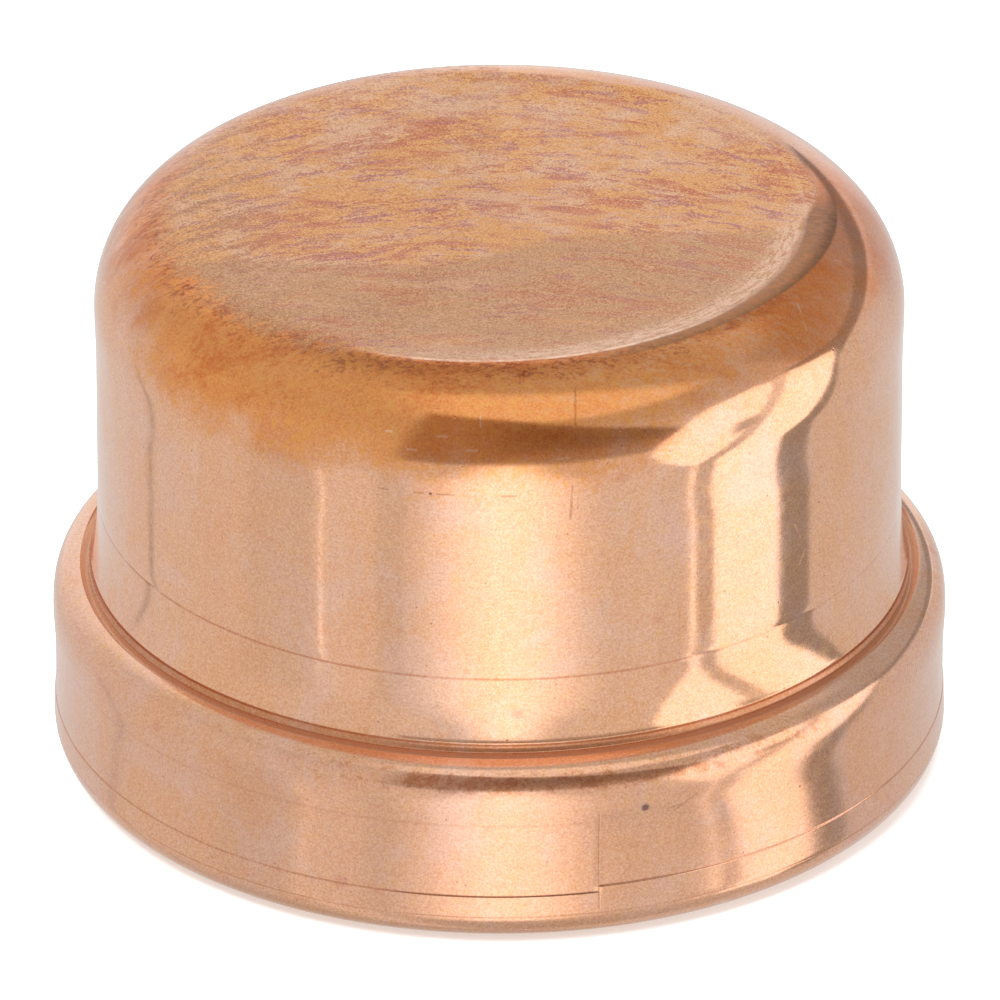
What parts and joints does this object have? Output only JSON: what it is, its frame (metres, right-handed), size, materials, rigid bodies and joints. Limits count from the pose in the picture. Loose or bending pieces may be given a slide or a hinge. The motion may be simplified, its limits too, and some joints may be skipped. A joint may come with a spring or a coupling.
{
  "type": "press-fit pipe end cap",
  "caption": "Domed copper end cap for a large tube, with a rolled press skirt that holds a rubber seal ring, a separator ring and a split toothed grip ring.",
  "frame": {"origin": "centre of the mouth, in the plane the lip stands on", "axes": "+Z along the cap's axis, from the mouth towards the closed end; +X across, right as seen from the side the part is usually shown from; the split of the grip ring is at 215 degrees from +X towards +Y"},
  "size_m": [0.079, 0.079, 0.0516],
  "materials": {
    "copper": null,
    "seal_rubber": "smooth black EPDM",
    "separator_plastic": "moulded, satin",
    "grip_steel": "stamped stainless spring steel"
  },
  "bodies": {
    "root": {"cap_body": "copper", "seal_ring": "seal_rubber", "separator_ring": "separator_plastic", "grip_ring": "grip_steel"}
  },
  "joints": []
}
